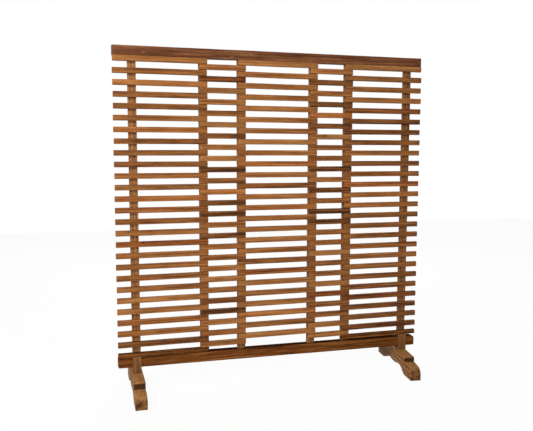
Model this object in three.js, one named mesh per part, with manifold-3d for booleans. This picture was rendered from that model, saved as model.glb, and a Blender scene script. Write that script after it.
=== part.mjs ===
// A free-standing garden privacy screen in weathered hardwood.
//
// Slats are laid in courses, like a log cabin. A course is a row of three wide slats on a row of
// two narrow slats, whose ends lie under the ends of the wide ones. So every slat spaces the next
// one, and the lapped ends close up into four solid columns. Six posts stand behind the slats and
// carry them. The posts are tenoned into a bottom rail and a top rail and pegged from the back,
// and the two outer posts run on down into carved bracket feet.
//
// Millimetres. +X is the width, -Y the front, +Z up. The origin is on the floor, in the middle.

import * as THREE from 'three';
import { mergeVertices } from 'three/addons/utils/BufferGeometryUtils.js';
import Module from 'manifold-3d';

const wasm = await Module();
wasm.setup();

// ---------------------------------------------------------------- driving dimensions

const seatGap = 0.3;              // hair's breadth between one piece and the next

// slats
const slatHeight = 29.8;
const bottomSlatHeight = 24.8;    // the two that lie on the bottom rail, planed down to fit
const slatDepth = 20;
const slatArris = 2;              // eased edges
const lapBite = 0.2;              // how far a narrow slat beds into the wide ones that lie on it
const courseCount = 26;

// posts
const postWidth = 44;             // a wide slat laps over a narrow one by as much
const postDepth = 22;
const postArris = 1.5;

// clear widths, from the middle of the screen outwards
const centreOpening = 368;
const narrowOpening = 166;
const outerOpening = 326;
const leftOverhang = 77;          // from the outer post to the end of the slats and rails
const rightOverhang = 59;

// rails
const topRailHeight = 52;
const bottomRailHeight = 57;
const railDepth = 48;
const railArris = 3;
const topRailCorner = 4;          // rounding of the corners at a rail's ends
const bottomRailCorner = 9;
const railTenon = 36;             // how deep a post stands in a rail

// feet
const footLength = 540;
const footWidth = 62;
const footHeight = 115;
const footArris = 2.5;
const humpLength = 364;           // the raised middle, from riser to riser
const humpCorner = 9;
const humpCrown = 3;              // how far the hump swells above its corners
const riserHeight = 30;           // the step from the toe up to the hump
const toeFall = 6;                // fall of the toe's top, from the riser to where it rounds over
const toeRound = 42;
const padLength = 86;             // the flat that stands on the floor, at each end
const archHeight = 37;            // the two highest points of the underside
const archSpread = 178;           // between those points
const archDrop = 9;               // how far the underside hangs between them
const footMortise = 60;
const leftFootTurn = 0;           // degrees that a foot is turned about its post, to the left from above
const rightFootTurn = -6.5;
const stubHeight = 25;            // bare post between the bottom rail and the foot

// pegs
const railPegRadius = 4.5;
const railPegWall = 7;            // wood left in front of a blind peg hole
const footPegRadius = 5;
const footPegWall = 9;
const pegHead = 1.5;              // how far a peg's domed head stands out
const pegTip = 1.5;               // chamfer at its other end
const pegSides = 12;

// ---------------------------------------------------------------- places worked out from them

// posts, by the distance of their middle from the middle of the centre opening
const innerPostX = (centreOpening + postWidth) / 2;
const secondPostX = innerPostX + postWidth + narrowOpening;
const outerPostX = secondPostX + postWidth + outerOpening;
const postMiddles = [-outerPostX, -secondPostX, -innerPostX, innerPostX, secondPostX, outerPostX];

// ends of the slats and rails, from the middle of the centre opening too
const leftEnd = -outerPostX - postWidth / 2 - leftOverhang;
const rightEnd = outerPostX + postWidth / 2 + rightOverhang;
const middleX = (leftEnd + rightEnd) / 2;

// heights, from the floor up
const bottomRailBase = footHeight + stubHeight;
const bottomRailTop = bottomRailBase + bottomRailHeight;
const bottomSlatBase = bottomRailTop + seatGap;
const lowestCourseBase = bottomSlatBase + bottomSlatHeight + seatGap;
const courseHeight = 2 * slatHeight + seatGap;
const topRailBase = lowestCourseBase + courseCount * courseHeight;

const outerPostBase = footHeight - footMortise + seatGap;
const innerPostBase = bottomRailTop - railTenon + seatGap;
const postTop = topRailBase + railTenon - seatGap;

// middles of the pegs
const footPegZ = footHeight - footMortise / 2;
const bottomPegZ = bottomRailTop - railTenon / 2;
const topPegZ = topRailBase + railTenon / 2;

const slatMiddleY = -postDepth / 2 - seatGap - slatDepth / 2;

// ---------------------------------------------------------------- materials

function wood(colour, roughness) {
  return new THREE.MeshStandardMaterial({ color: colour, roughness, metalness: 0 });
}

const topRailWood = wood(0x5e3a22, 0.62);
const bottomRailWood = wood(0x6b4126, 0.62);
const slatWood = wood(0x8f5a2e, 0.6);
const postWood = wood(0x9a6a4a, 0.68);
const footWood = wood(0x93622f, 0.66);
const pegWood = wood(0x7a5433, 0.7);

// ---------------------------------------------------------------- shapes and solids

/** Turns a closed geometry into a solid that can be cut and joined. */
function solidOf(geometry) {
  const bare = geometry.clone();
  bare.deleteAttribute('normal');
  bare.deleteAttribute('uv');
  const merged = mergeVertices(bare);
  return new wasm.Manifold(new wasm.Mesh({
    numProp: 3,
    vertProperties: new Float32Array(merged.attributes.position.array),
    triVerts: new Uint32Array(merged.index.array),
  }));
}

/** Turns a solid back into a geometry. */
function geometryOf(solid) {
  const { vertProperties, triVerts } = solid.getMesh();
  const geometry = new THREE.BufferGeometry();
  geometry.setAttribute('position', new THREE.BufferAttribute(vertProperties, 3));
  geometry.setIndex(new THREE.BufferAttribute(triVerts, 1));
  return geometry;
}

function cut(solid, cutters) {
  return cutters.reduce((left, cutter) => left.subtract(cutter), solid);
}

/** A rectangle about the origin with its corners cut off. */
function easedRectangle(width, height, arris) {
  const x = width / 2;
  const y = height / 2;
  return new THREE.Shape([
    new THREE.Vector2(arris - x, -y), new THREE.Vector2(x - arris, -y),
    new THREE.Vector2(x, arris - y), new THREE.Vector2(x, y - arris),
    new THREE.Vector2(x - arris, y), new THREE.Vector2(arris - x, y),
    new THREE.Vector2(-x, y - arris), new THREE.Vector2(-x, arris - y),
  ]);
}

/** A rectangle about the origin with round corners. */
function roundedRectangle(width, height, radius) {
  const x = width / 2 - radius;
  const y = height / 2 - radius;
  return new THREE.Shape()
    .absarc(x, -y, radius, -Math.PI / 2, 0)
    .absarc(x, y, radius, 0, Math.PI / 2)
    .absarc(-x, y, radius, Math.PI / 2, Math.PI)
    .absarc(-x, -y, radius, Math.PI, 1.5 * Math.PI);
}

/** Extrudes an outline by a length, half to each side, with its edges eased. */
function extrudeBothWays(shape, length, arris = 0) {
  return new THREE.ExtrudeGeometry(shape, {
    depth: length - 2 * arris,
    bevelEnabled: arris > 0,
    bevelThickness: arris,
    bevelSize: arris,
    bevelOffset: -arris,
    bevelSegments: 1,
    curveSegments: 5,
  }).translate(0, 0, arris - length / 2);
}

/** A box from one corner to the other, as a cutter. */
function boxCutter(low, high) {
  const size = high.map((value, axis) => value - low[axis]);
  const middle = high.map((value, axis) => (value + low[axis]) / 2);
  return solidOf(new THREE.BoxGeometry(...size).translate(...middle));
}

/** The mortise for a post whose middle is at x, from one height to another. */
function postMortise(x, bottom, top) {
  const halfX = postWidth / 2 + seatGap;
  const halfY = postDepth / 2 + seatGap;
  return boxCutter([x - halfX, -halfY, bottom], [x + halfX, halfY, top]);
}

/** A peg that points along +Y from its chamfered tip, at the origin, to its domed head. */
function pegGeometry(radius, length) {
  const profile = new THREE.Path();
  profile.moveTo(0, 0);
  profile.lineTo(radius - pegTip, 0);
  profile.lineTo(radius, pegTip);
  profile.lineTo(radius, length);
  profile.quadraticCurveTo(radius, length + pegHead, 0, length + pegHead);
  return new THREE.LatheGeometry(profile.getPoints(3), pegSides);
}

/** The hole for such a peg, as a cutter that runs past the wood at the head's end. */
function pegHole(radius, length) {
  const run = length + 2 * pegHead + seatGap;
  return new THREE.CylinderGeometry(radius + seatGap, radius + seatGap, run, pegSides)
    .translate(0, run / 2 - seatGap, 0);
}

function namedMesh(name, geometry, material) {
  const mesh = new THREE.Mesh(geometry, material);
  mesh.name = name;
  return mesh;
}

// ---------------------------------------------------------------- slats

const innerSlatEnd = centreOpening / 2 + postWidth;
const outerSlatStart = innerSlatEnd + narrowOpening;
const wideSpans = [
  [leftEnd, -outerSlatStart],
  [-innerSlatEnd, innerSlatEnd],
  [outerSlatStart, rightEnd],
];
const narrowSpans = [
  [-outerSlatStart - postWidth, -centreOpening / 2],
  [centreOpening / 2, outerSlatStart + postWidth],
];

/** A slat from one x to another, standing on z. */
function slatGeometry([start, end], z, height) {
  return extrudeBothWays(easedRectangle(slatDepth, height, slatArris), end - start)
    .rotateX(Math.PI / 2)
    .rotateZ(Math.PI / 2)
    .translate((start + end) / 2, 0, z + height / 2);
}

/** Three wide slats that lie on the ends of two narrow ones. */
function courseGeometry() {
  const slats = [
    ...wideSpans.map((span) => slatGeometry(span, slatHeight, slatHeight)),
    ...narrowSpans.map((span) => slatGeometry(span, 0, slatHeight + lapBite)),
  ];
  return geometryOf(slats.map(solidOf).reduce((course, slat) => course.add(slat)));
}

/** All courses, counted from the top down, and the two slats that lie on the bottom rail. */
function buildSlats() {
  const slats = new THREE.Group();
  slats.position.y = slatMiddleY;
  const course = courseGeometry();
  for (let number = 1; number <= courseCount; number += 1) {
    const mesh = namedMesh(`slat_course_${String(number).padStart(2, '0')}`, course, slatWood);
    mesh.position.z = topRailBase - number * courseHeight;
    slats.add(mesh);
  }
  const [left, , right] = wideSpans;
  for (const [name, span] of [['bottom_slat_left', left], ['bottom_slat_right', right]]) {
    slats.add(namedMesh(name, slatGeometry(span, bottomSlatBase, bottomSlatHeight), slatWood));
  }
  return slats;
}

// ---------------------------------------------------------------- posts and rails

/** Where a rail peg's tip is. */
const railPegTipY = railPegWall - railDepth / 2;
const railPegLength = railDepth / 2 - railPegTipY;

function railPegHole(x, z) {
  return solidOf(pegHole(railPegRadius, railPegLength).translate(x, railPegTipY, z));
}

const footPegLength = footWidth - footPegWall;

/** Turns what belongs to the foot at one side with it: -1 for the left foot, 1 for the right one. */
function turnWithFoot(geometry, side) {
  return geometry.rotateZ(THREE.MathUtils.degToRad(side < 0 ? leftFootTurn : rightFootTurn));
}

/** Places a foot's peg, or its hole, that stands on the origin and points towards +Y. */
function placeFootPeg(geometry, side) {
  const placed = geometry.rotateZ(-side * Math.PI / 2)
    .translate(side * (footWidth / 2 - footPegLength), 0, footPegZ);
  return turnWithFoot(placed, side);
}

function postGeometry(x) {
  const outer = Math.abs(x) === outerPostX;
  const base = outer ? outerPostBase : innerPostBase;
  const bar = extrudeBothWays(easedRectangle(postWidth, postDepth, postArris), postTop - base)
    .translate(0, 0, (postTop + base) / 2);
  const holes = [railPegHole(0, bottomPegZ), railPegHole(0, topPegZ)];
  if (outer) {
    holes.push(solidOf(placeFootPeg(pegHole(footPegRadius, footPegLength), Math.sign(x))));
  }
  return geometryOf(cut(solidOf(bar), holes));
}

function buildPosts() {
  const posts = new THREE.Group();
  postMiddles.forEach((x, index) => {
    const mesh = namedMesh(`post_${index + 1}`, postGeometry(x), postWood);
    mesh.position.x = x;
    posts.add(mesh);
  });
  return posts;
}

/** A rail that stands on its base, with its mortises and peg holes cut. */
function railGeometry(base, height, corner, mortises, pegZ) {
  const bar = extrudeBothWays(roundedRectangle(rightEnd - leftEnd, height, corner), railDepth, railArris)
    .rotateX(Math.PI / 2)
    .translate(middleX, 0, base + height / 2);
  const pegHoles = postMiddles.map((x) => railPegHole(x, pegZ));
  return geometryOf(cut(solidOf(bar), [...mortises, ...pegHoles]));
}

function buildRails() {
  const rails = new THREE.Group();
  const topMortises = postMiddles.map((x) => postMortise(x, topRailBase - seatGap, topRailBase + railTenon));
  rails.add(namedMesh(
    'top_rail',
    railGeometry(topRailBase, topRailHeight, topRailCorner, topMortises, topPegZ),
    topRailWood,
  ));
  const bottomMortises = postMiddles.map((x) => postMortise(
    x,
    Math.abs(x) === outerPostX ? bottomRailBase - seatGap : bottomRailTop - railTenon,
    bottomRailTop + seatGap,
  ));
  rails.add(namedMesh(
    'bottom_rail',
    railGeometry(bottomRailBase, bottomRailHeight, bottomRailCorner, bottomMortises, bottomPegZ),
    bottomRailWood,
  ));
  return rails;
}

// ---------------------------------------------------------------- feet

/**
 * Draws a curve of two equal arcs that starts and ends level, on to a path's end at (y, z).
 * Its first arc bends down if the end is lower, and up if it is higher.
 */
function swayTo(path, y, z) {
  const start = path.currentPoint.clone();
  const run = y - start.x;
  const rise = z - start.y;
  const radius = (run * run + rise * rise) / (4 * Math.abs(rise));
  const turn = 2 * Math.atan(Math.abs(rise) / run);
  const up = Math.PI / 2;
  if (rise < 0) {
    path.absarc(start.x, start.y - radius, radius, up, up - turn, true);
    path.absarc(y, z + radius, radius, -up - turn, -up, false);
  } else {
    path.absarc(start.x, start.y + radius, radius, -up, turn - up, false);
    path.absarc(y, z - radius, radius, up + turn, up, true);
  }
}

/** The back half of a foot seen from its side, from the middle of its underside up to its top. */
function footHalfOutline() {
  const end = footLength / 2;
  const riser = humpLength / 2;
  const humpEdge = footHeight - humpCrown;
  const toeTop = humpEdge - riserHeight;
  const toeRim = toeTop - toeFall;
  const half = new THREE.Path();
  half.moveTo(0, archHeight - archDrop);
  swayTo(half, archSpread / 2, archHeight);
  swayTo(half, end - padLength, 0);
  half.lineTo(end, 0);
  half.lineTo(end, toeRim - toeRound);
  half.absarc(end - toeRound, toeRim - toeRound, toeRound, 0, Math.PI / 2);
  half.quadraticCurveTo((riser + end - toeRound) / 2, toeTop, riser, toeTop);
  half.lineTo(riser, humpEdge - humpCorner);
  half.absarc(riser - humpCorner, humpEdge - humpCorner, humpCorner, 0, Math.PI / 2);
  half.quadraticCurveTo(riser / 2, footHeight, 0, footHeight);
  return half.getPoints(6);
}

/** A foot that stands on the floor, with a mortise square to the post and a peg hole from outside. */
function footGeometry(side) {
  const half = footHalfOutline();
  const mirrored = half.slice(1, -1).reverse().map((point) => new THREE.Vector2(-point.x, point.y));
  const block = extrudeBothWays(new THREE.Shape([...half, ...mirrored]), footWidth, footArris)
    .rotateX(Math.PI / 2)
    .rotateZ(Math.PI / 2);
  return geometryOf(cut(solidOf(turnWithFoot(block, side)), [
    postMortise(0, footHeight - footMortise, footHeight + seatGap),
    solidOf(placeFootPeg(pegHole(footPegRadius, footPegLength), side)),
  ]));
}

function buildFeet() {
  const feet = new THREE.Group();
  for (const [name, side] of [['foot_left', -1], ['foot_right', 1]]) {
    const foot = namedMesh(name, footGeometry(side), footWood);
    foot.position.x = side * outerPostX;
    feet.add(foot);
  }
  return feet;
}

// ---------------------------------------------------------------- pegs

function buildPegs() {
  const pegs = new THREE.Group();
  const railPeg = pegGeometry(railPegRadius, railPegLength);
  for (const [row, z] of [['top', topPegZ], ['bottom', bottomPegZ]]) {
    postMiddles.forEach((x, index) => {
      const peg = namedMesh(`peg_${row}_${index + 1}`, railPeg, pegWood);
      peg.position.set(x, railPegTipY, z);
      pegs.add(peg);
    });
  }
  for (const [name, side] of [['peg_foot_left', -1], ['peg_foot_right', 1]]) {
    const peg = namedMesh(name, placeFootPeg(pegGeometry(footPegRadius, footPegLength), side), pegWood);
    peg.position.x = side * outerPostX;
    pegs.add(peg);
  }
  return pegs;
}

// ---------------------------------------------------------------- the screen

const screen = new THREE.Group();
screen.position.x = -middleX;
screen.add(buildFeet(), buildRails(), buildPosts(), buildSlats(), buildPegs());

export default screen;
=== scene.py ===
"""A free-standing garden privacy screen of reclaimed hardwood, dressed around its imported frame.

Metres, as in the frame. A name that ends in _mm is in millimetres, and one in _deg in degrees.
+X runs along the rails, -Y is the slatted front and +Z is up.
"""

import logging
import math
import random
from dataclasses import dataclass, field, replace
from enum import Enum
from typing import Callable, Optional, Union

import bmesh
import bpy
from mathutils import Matrix, Vector


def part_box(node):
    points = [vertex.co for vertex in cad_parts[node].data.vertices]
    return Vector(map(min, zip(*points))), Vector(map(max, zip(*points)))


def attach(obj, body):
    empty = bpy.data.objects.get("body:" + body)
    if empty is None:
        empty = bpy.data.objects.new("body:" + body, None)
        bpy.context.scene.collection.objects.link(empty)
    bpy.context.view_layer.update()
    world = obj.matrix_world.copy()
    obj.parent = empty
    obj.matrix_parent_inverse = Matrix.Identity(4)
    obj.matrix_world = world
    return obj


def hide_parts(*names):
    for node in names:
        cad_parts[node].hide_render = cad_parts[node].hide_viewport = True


LOG = logging.getLogger("screen")
MM = 0.001
BODY = "root"
WHITE = (1.0, 1.0, 1.0, 1.0)

COURSES = 26
POST_COUNT = 6
RIGHT_FOOT_TURN_DEG = -6.5
RIGHT_FOOT_SHIFT = -8 * MM

# Places this near to each other count as one, and a line counts as straight along an axis when
# that much of it runs that way.
TOUCHING = 0.001 * MM
STRAIGHT = 0.999

Colour = tuple[float, float, float, float]
Operand = Union["Signal", float]


class Axis(Enum):
    """An axis of the frame, and so the way that a board's grain can run."""

    X = 0
    Y = 1
    Z = 2


# ------------------------------------------------------------------ shader graphs


class Signal:
    """The output of a shader node. Arithmetic on it adds Math nodes."""

    def __init__(self, graph: "Graph", socket: bpy.types.NodeSocket) -> None:
        """Wraps an output socket of a node in a graph."""
        self.graph = graph
        self.socket = socket

    def _math(self, operation: str, *values: Operand, clamp: bool = False) -> "Signal":
        """Adds a Math node on these values, whose result can be kept between 0 and 1."""
        settings = {"operation": operation, "use_clamp": clamp}
        return self.graph.node("ShaderNodeMath", settings, dict(enumerate(values)))

    def __add__(self, other: Operand) -> "Signal":
        """Adds."""
        return self._math("ADD", self, other)

    def __radd__(self, other: float) -> "Signal":
        """Adds to a number."""
        return self._math("ADD", other, self)

    def __sub__(self, other: Operand) -> "Signal":
        """Subtracts."""
        return self._math("SUBTRACT", self, other)

    def __rsub__(self, other: float) -> "Signal":
        """Subtracts from a number."""
        return self._math("SUBTRACT", other, self)

    def __mul__(self, other: Operand) -> "Signal":
        """Multiplies."""
        return self._math("MULTIPLY", self, other)

    def __rmul__(self, other: float) -> "Signal":
        """Multiplies a number."""
        return self._math("MULTIPLY", other, self)

    def __truediv__(self, other: Operand) -> "Signal":
        """Divides."""
        return self._math("DIVIDE", self, other)

    def __abs__(self) -> "Signal":
        """Gives the size of the value."""
        return self._math("ABSOLUTE", self)

    def clamped(self) -> "Signal":
        """Gives the value kept between 0 and 1."""
        return self._math("ADD", self, 0.0, clamp=True)

    def larger(self, other: Operand) -> "Signal":
        """Gives the larger of two values."""
        return self._math("MAXIMUM", self, other)

    def ramp(self, low: float, high: float) -> "Signal":
        """Gives a smooth step.

        Args:
            low: The value at which the result is 0.
            high: The value at which the result is 1. It may be the lower one.

        Returns:
            The step, between 0 and 1.
        """
        start, stop, first, last = (low, high, 0.0, 1.0) if low <= high else (high, low, 1.0, 0.0)
        inputs = {0: self, 1: start, 2: stop, 3: first, 4: last}
        return self.graph.node("ShaderNodeMapRange", {"interpolation_type": "SMOOTHSTEP"}, inputs)


NodeInput = Union[Signal, float, tuple]
Place = tuple[Signal, Signal, Signal]


class Graph:
    """A node tree, built by expressions."""

    def __init__(self, tree: bpy.types.NodeTree) -> None:
        """Takes a node tree and empties it."""
        self.tree = tree
        tree.nodes.clear()

    def node(
        self,
        kind: str,
        settings: Optional[dict] = None,
        inputs: Optional[dict[Union[int, str], NodeInput]] = None,
        output: Union[int, str] = 0,
    ) -> Signal:
        """Adds a node.

        Args:
            kind: The node's type.
            settings: Its properties, which are set first. "stops" are a ramp's places and colours.
            inputs: A value or a signal for each socket, by index or name.
            output: The output socket that is wanted.

        Returns:
            The output.
        """
        node = self.tree.nodes.new(kind)
        for name, value in (settings or {}).items():
            if name == "stops":
                self._set_stops(node.color_ramp, value)
            else:
                setattr(node, name, value)
        for key, value in (inputs or {}).items():
            if isinstance(value, Signal):
                self.tree.links.new(value.socket, node.inputs[key])
            else:
                node.inputs[key].default_value = value
        return Signal(self, node.outputs[output])

    @staticmethod
    def _set_stops(ramp: bpy.types.ColorRamp, stops: list[tuple[float, Colour]]) -> None:
        """Sets a colour ramp's stops.

        Args:
            ramp: The ramp, which starts with two stops.
            stops: The place and colour of each stop.
        """
        while len(ramp.elements) < len(stops):
            ramp.elements.new(1.0)
        for element, (place, colour) in zip(ramp.elements, stops):
            element.position = place
            element.color = colour

    def place(self) -> Signal:
        """Gives the place on the piece, in metres."""
        return self.node("ShaderNodeTexCoord", None, None, "Object")

    def vector(self, x: NodeInput, y: NodeInput, z: NodeInput) -> Signal:
        """Makes a vector of three values."""
        return self.node("ShaderNodeCombineXYZ", None, {0: x, 1: y, 2: z})

    def parts(self, vector: Signal) -> Place:
        """Splits a vector into its three values."""
        outputs = self.node("ShaderNodeSeparateXYZ", None, {0: vector}).socket.node.outputs
        return Signal(self, outputs[0]), Signal(self, outputs[1]), Signal(self, outputs[2])

    def noise(self, place: Signal, detail: float = 2.0, roughness: float = 0.5) -> Signal:
        """Gives smooth noise between 0 and 1 that varies over one unit of place."""
        inputs = {"Vector": place, "Scale": 1.0, "Detail": detail, "Roughness": roughness}
        return self.node("ShaderNodeTexNoise", {"noise_dimensions": "3D"}, inputs)

    def mix(self, factor: NodeInput, first: NodeInput, second: NodeInput, blend: str = "MIX") -> Signal:
        """Mixes two colours, with as much of the second as the factor says."""
        settings = {"data_type": "RGBA", "blend_type": blend, "clamp_factor": True}
        return self.node("ShaderNodeMix", settings, {0: factor, 6: first, 7: second}, 2)

    def finish(self, shader: Signal, output: str) -> None:
        """Adds an output node of this type and links a shader to it."""
        self.tree.links.new(shader.socket, self.tree.nodes.new(output).inputs[0])


def new_material(name: str) -> tuple[bpy.types.Material, Graph]:
    """Makes a material with an empty graph.

    Args:
        name: The material's name.

    Returns:
        The material and its graph.
    """
    material = bpy.data.materials.new(name)
    material.use_nodes = True
    return material, Graph(material.node_tree)


def tint(red: int, green: int, blue: int) -> Colour:
    """Turns a colour as a paint chart gives it into the linear colour that a shader takes.

    Args:
        red: The red, from 0 to 255.
        green: The green.
        blue: The blue.

    Returns:
        The linear colour.
    """

    def linear(value: int) -> float:
        """Undoes the display's curve for one channel."""
        shown = value / 255
        return shown / 12.92 if shown <= 0.04045 else ((shown + 0.055) / 1.055) ** 2.4

    return (linear(red), linear(green), linear(blue), 1.0)


# ------------------------------------------------------------------ finishes


BOARD_SEED = "board_seed"

# How far a seed of 1 moves a figure along, across and through a board, in metres.
SEED_SHIFTS = (7.3, 3.1, 1.7)

# Where shadow, heart and honey lie on the way from the darkest tone to the lightest, and what
# the reddest and the greyest boards are multiplied by.
TONES = (0.12, 0.5, 0.9)
REDDER = (1.08, 0.86, 0.72, 1.0)
GREYER = (0.9, 1.0, 1.12, 1.0)


@dataclass(frozen=True)
class Figure:
    """What shows on a sawn board, each between 0 and 1."""

    streaks: Signal
    bands: Signal
    fibres: Signal
    pores: Signal
    knots: Signal
    mottle: Signal

    def patches(self) -> Signal:
        """Gives the patches that wear first."""
        return self.mottle.ramp(0.3, 0.6)


@dataclass(frozen=True)
class WoodFinish:
    """Oiled, weathered hardwood, with its figure along the grain.

    The board_seed attribute gives each board its own shade, hue and figure.

    Attributes:
        name: The material's name.
        grain: The way the grain runs.
        shadow: The darkest colour. heart is the middle one, and honey the lightest.
        contrast: How strongly the streaks show, and patchiness the mottle.
        spread: How much boards differ in shade.
        painted_level_shade: How much painted shade a level face gets, and end_shade how much darker the end
            grain is.
        worn_edge: How much honey shows on worn edges, painted_top_light how much painted light top faces
        get, and worn_toes how much honey shows on the end grain near the floor.
        scuff_spacing: How far apart scuffs are, or 0 for none.
        darker_below: The height below which the wood grows darker towards the bottom, or 0.
        turn_deg: How far the piece is turned about Z.
        nicks: Where pale nicks are, as x and z.
    """

    name: str
    grain: Axis
    shadow: Colour
    heart: Colour
    honey: Colour
    contrast: float = 1.35
    patchiness: float = 0.3
    spread: float = 0.35
    streak_length: float = 350 * MM
    streak_width: float = 9 * MM
    sway_length: float = 160 * MM
    sway_width: float = 40 * MM
    sway_across: float = 6 * MM
    sway_deep: float = 5 * MM
    fibre_length: float = 30 * MM
    fibre_width: float = 1.2 * MM
    pore_length: float = 12 * MM
    pore_width: float = 0.6 * MM
    mottle_length: float = 70 * MM
    mottle_width: float = 30 * MM
    knot_spacing: float = 120 * MM
    knot_radius: float = 7 * MM
    painted_level_shade: float = 0.45
    end_shade: float = 0.55
    worn_edge: float = 0.25
    painted_top_light: float = 0.0
    worn_toes: float = 0.0
    toe_wear: tuple[float, float] = (78 * MM, 66 * MM)
    scuff_spacing: float = 0.0
    scuff_radius: float = 5 * MM
    darker_below: float = 0.0
    nicks: tuple[tuple[float, float], ...] = ()
    nick_half: tuple[float, float] = (12 * MM, 3.5 * MM)
    turn_deg: float = 0.0
    base_roughness: float = 0.62
    specular: float = 0.12
    relief: float = 0.6 * MM

    def material(self) -> bpy.types.Material:
        """Builds the material.

        Returns:
            The new material.
        """
        material, graph = new_material(self.name)
        point = graph.place()
        if self.turn_deg:
            turn = {"Vector": point, "Angle": -math.radians(self.turn_deg)}
            point = graph.node("ShaderNodeVectorRotate", {"rotation_type": "Z_AXIS"}, turn)
        place = graph.parts(point)
        board = graph.node("ShaderNodeAttribute", {"attribute_name": BOARD_SEED}, None, "Vector")
        shade, hue, seed = graph.parts(board)
        figure = self._figure(graph, place, seed)
        colour = self._toned(graph, figure, shade, hue)
        colour = self._shaded(graph, colour, figure, place[2])
        colour = self._marked(graph, colour, place, seed)
        height = figure.fibres * 0.35 + figure.bands * 0.5 - figure.pores * 0.6 - figure.knots * 0.3
        roughness = self.base_roughness + (figure.mottle - 0.5) * 0.25 + figure.pores * 0.15
        bump = {"Strength": 0.35, "Distance": self.relief, "Height": height}
        inputs = {
            "Base Color": colour,
            "Roughness": roughness.clamped(),
            "Normal": graph.node("ShaderNodeBump", None, bump),
            "Specular IOR Level": self.specular,
        }
        graph.finish(graph.node("ShaderNodeBsdfPrincipled", None, inputs), "ShaderNodeOutputMaterial")
        return material

    def _figure(self, graph: Graph, place: Place, seed: Signal) -> Figure:
        """Draws the board's figure.

        Args:
            graph: The material's graph.
            place: The place on the piece.
            seed: The board's seed, which moves its figure.

        Returns:
            The figure.
        """
        x, y, z = place
        turned = {Axis.X: (x, y, z), Axis.Y: (y, x, z), Axis.Z: (z, x, y)}[self.grain]
        along, across, deep = [part + seed * shift for part, shift in zip(turned, SEED_SHIFTS)]

        def grained(length: float, width: float, shift: float = 0.0) -> Signal:
            """Gives a place that passes one unit over a length along the grain or a width across it."""
            return graph.vector(along / length + shift, across / width, deep / width)

        sway = graph.noise(grained(self.sway_length, self.sway_width)) - 0.5
        across = across + sway * self.sway_across
        deep = deep + sway * self.sway_deep
        band_length, band_width = self.streak_length * 0.6, self.streak_width * 0.45
        return Figure(
            streaks=graph.noise(grained(self.streak_length, self.streak_width), 3.0, 0.55),
            bands=graph.noise(grained(band_length, band_width, 4.0), 2.0, 0.6),
            fibres=graph.noise(grained(self.fibre_length, self.fibre_width, 9.0), 2.0, 0.6),
            pores=graph.noise(grained(self.pore_length, self.pore_width, 2.0), 1.0, 0.5).ramp(0.63, 0.74),
            knots=self._spots(graph, place, seed, self.knot_spacing, self.knot_radius),
            mottle=graph.noise(grained(self.mottle_length, self.mottle_width), 3.0, 0.6),
        )

    @staticmethod
    def _spots(graph: Graph, place: Place, seed: Signal, spacing: float, radius: float) -> Signal:
        """Strews round spots.

        Args:
            graph: The material's graph.
            place: The place on the piece.
            seed: Moves the spots.
            spacing: About how far apart they are.
            radius: Their radius.

        Returns:
            A mask, 1 on the spots.
        """
        x, y, z = place
        cells = graph.vector(x / spacing + seed * 9.0, y / spacing, z / spacing + seed * 5.0)
        inputs = {"Vector": cells, "Scale": 1.0}
        distance = graph.node("ShaderNodeTexVoronoi", {"feature": "F1"}, inputs, "Distance")
        return distance.ramp(radius * 1.6 / spacing, radius * 0.5 / spacing)

    def _toned(self, graph: Graph, figure: Figure, shade: Signal, hue: Signal) -> Signal:
        """Colours the figure from shadow to honey.

        Args:
            graph: The material's graph.
            figure: The board's figure.
            shade: The board's shade, from dark to light.
            hue: Its hue, from grey to red.

        Returns:
            The colour.
        """
        tone = 0.5 + (figure.streaks - 0.5) * self.contrast + (figure.bands - 0.5) * (self.contrast * 0.6)
        tone = tone + (figure.fibres - 0.5) * 0.4 + (figure.mottle - 0.5) * self.patchiness
        tone = tone + (shade - 0.5) * self.spread - figure.knots * 0.3
        stops = list(zip(TONES, (self.shadow, self.heart, self.honey)))
        colour = graph.node("ShaderNodeValToRGB", {"stops": stops}, {0: tone.clamped()})
        redder = graph.mix(1.0, colour, REDDER, "MULTIPLY")
        greyer = graph.mix(1.0, colour, GREYER, "MULTIPLY")
        colour = graph.mix(hue.ramp(0.55, 1.0) * 0.8, colour, redder)
        return graph.mix(hue.ramp(0.45, 0.0) * 0.8, colour, greyer)

    def _shaded(self, graph: Graph, colour: Signal, figure: Figure, z: Signal) -> Signal:
        """Darkens pores and end grain, paints shade on level faces and light on top faces, and lightens worn
        edges and toes.

        Args:
            graph: The material's graph.
            colour: The wood's colour.
            figure: The board's figure.
            z: The height above the floor.

        Returns:
            The colour.
        """
        normal = graph.parts(graph.node("ShaderNodeNewGeometry", None, None, "True Normal"))
        sizes = [abs(part) for part in normal]
        patches = figure.patches()
        end = sizes[self.grain.value].ramp(0.6, 0.9)
        if self.worn_toes:
            end = end * (1.0 - z.ramp(*self.toe_wear) * patches * self.worn_toes)
        # Level faces, which look up or down, get painted shade: painted_level_shade mixes them towards the
        # darkest tone.
        level = sizes[Axis.Z.value].ramp(0.75, 0.95)
        edge = sizes[0].larger(sizes[1]).larger(sizes[2]).ramp(0.97, 0.8)
        dark = (figure.pores * 0.3).larger(end * self.end_shade).larger(level * self.painted_level_shade)
        colour = graph.mix(dark, colour, self.shadow)
        # Top faces get painted light: honey is mixed in where a face looks up.
        if self.painted_top_light:
            top = normal[Axis.Z.value].ramp(0.6, 0.95)
            colour = graph.mix(top * self.painted_top_light, colour, self.honey)
        return graph.mix(edge * self.worn_edge * patches, colour, self.honey)

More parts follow.
